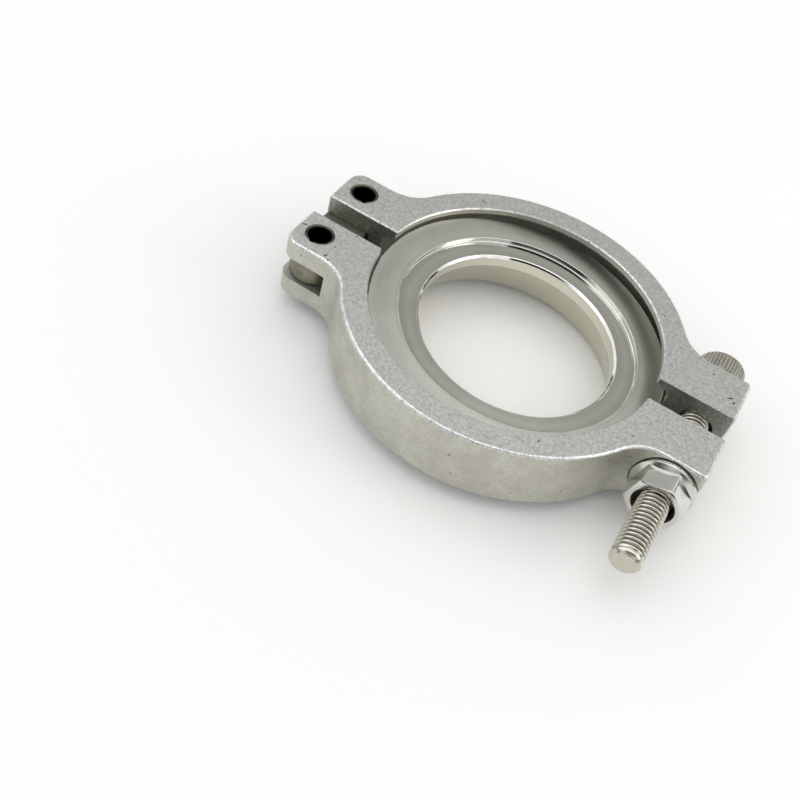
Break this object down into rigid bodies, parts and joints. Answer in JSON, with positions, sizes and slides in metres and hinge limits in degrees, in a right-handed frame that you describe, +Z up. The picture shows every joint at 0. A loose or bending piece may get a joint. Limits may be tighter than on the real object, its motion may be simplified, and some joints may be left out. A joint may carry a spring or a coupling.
{
  "type": "wastegate flange clamp",
  "caption": "Hinged V-groove clamp of cast stainless half rings, drawn together by a socket head screw and flange nut around a loose turned weld flange.",
  "frame": {"origin": "below the middle of the ring, at the height of the weld flange's lowest edge: the box's bottom centre", "axes": "+Z up along the ring's axis, out of the face that the mating flange meets; +X from the hinge to the lugs; +Y from the nut to the screw's head"},
  "size_m": [0.0902, 0.0698, 0.0167],
  "materials": {
    "cast_stainless": "blasted casting with fine pits",
    "turned_stainless": "turned, satin",
    "stainless_screw": "rolled thread, satin",
    "bright_nut": "bright polished",
    "black_spring_steel": "black oxide",
    "link_steel": "satin"
  },
  "bodies": {
    "nut_side": {"half_clamp_nut_side": "cast_stainless", "roll_pin_nut_side": "black_spring_steel"},
    "link": {"hinge_link": "link_steel"},
    "head_side": {"half_clamp_head_side": "cast_stainless", "roll_pin_head_side": "black_spring_steel"},
    "screw": {"socket_head_screw": "stainless_screw"},
    "nut": {"flange_nut": "bright_nut"},
    "flange": {"weld_flange": "turned_stainless"}
  },
  "joints": [
    {"name": "link_swing", "type": "hinge", "parent": "nut_side", "child": "link", "pos_m": [-0.04015, -0.0084, 0.00992], "axis": [0, 0, 1], "range_deg": [-0.3, 4.7]},
    {"name": "half_swing", "type": "hinge", "parent": "link", "child": "head_side", "pos_m": [-0.04015, 0.0084, 0.00992], "axis": [0, 0, 1], "range_deg": [-0.3, 4.7]},
    {"name": "screw_tilt", "type": "hinge", "parent": "head_side", "child": "screw", "pos_m": [0.0389, 0.0084, 0.00992], "axis": [0, 0, 1], "range_deg": [-4.7, 0.3]},
    {"name": "nut_travel", "type": "slide", "parent": "screw", "child": "nut", "axis": [0, -1, 0], "range_m": [-0.00087, 0.01349]},
    {"name": "flange_turn", "type": "hinge", "parent": "nut_side", "child": "flange", "pos_m": [0.0015, 0, 0.013], "axis": [0.0663, 0, 0.9978], "continuous": true}
  ],
  "couplings": [
    {"joint": "half_swing", "follows": "link_swing", "ratio": 1},
    {"joint": "screw_tilt", "follows": "link_swing", "ratio": -1},
    {"joint": "nut_travel", "follows": "link_swing", "m_per_rad": 0.1643}
  ]
}
